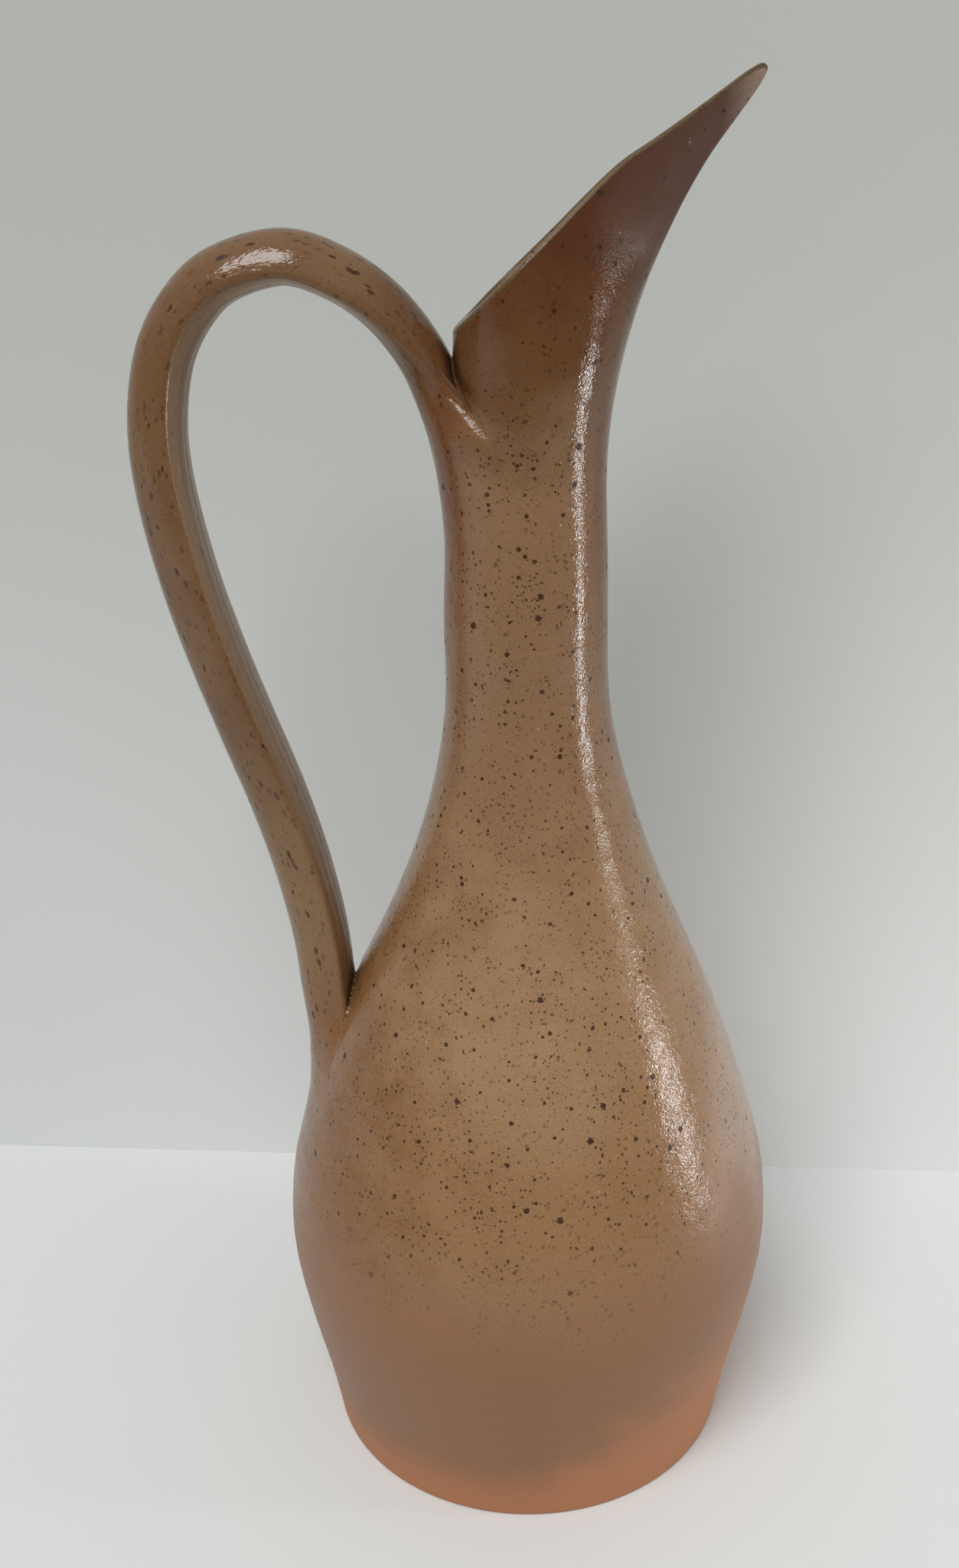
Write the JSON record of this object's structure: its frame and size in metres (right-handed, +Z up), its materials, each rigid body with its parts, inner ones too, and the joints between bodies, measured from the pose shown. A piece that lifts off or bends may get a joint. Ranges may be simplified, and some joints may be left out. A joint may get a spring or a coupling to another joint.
{
  "type": "jug",
  "caption": "Tall glazed stoneware jug with a round belly, a narrow neck, a slanting beaked mouth and a high loop handle.",
  "frame": {"origin": "centre of the flat base, where the jug stands", "axes": "+Z up along the body's axis; +X from the axis towards the beak, with the handle on the -X side; +Y to the left of someone who looks along +X"},
  "size_m": [0.1796, 0.1484, 0.401],
  "materials": {
    "salt_glaze": "glossy speckled salt glaze over brown stoneware",
    "fired_slip": "dull fired slip"
  },
  "bodies": {
    "root": {"body": "salt_glaze", "neck": "salt_glaze", "handle": "salt_glaze", "neck_joint_slip": "fired_slip", "handle_top_slip": "fired_slip", "handle_tail_slip": "fired_slip"}
  },
  "joints": []
}
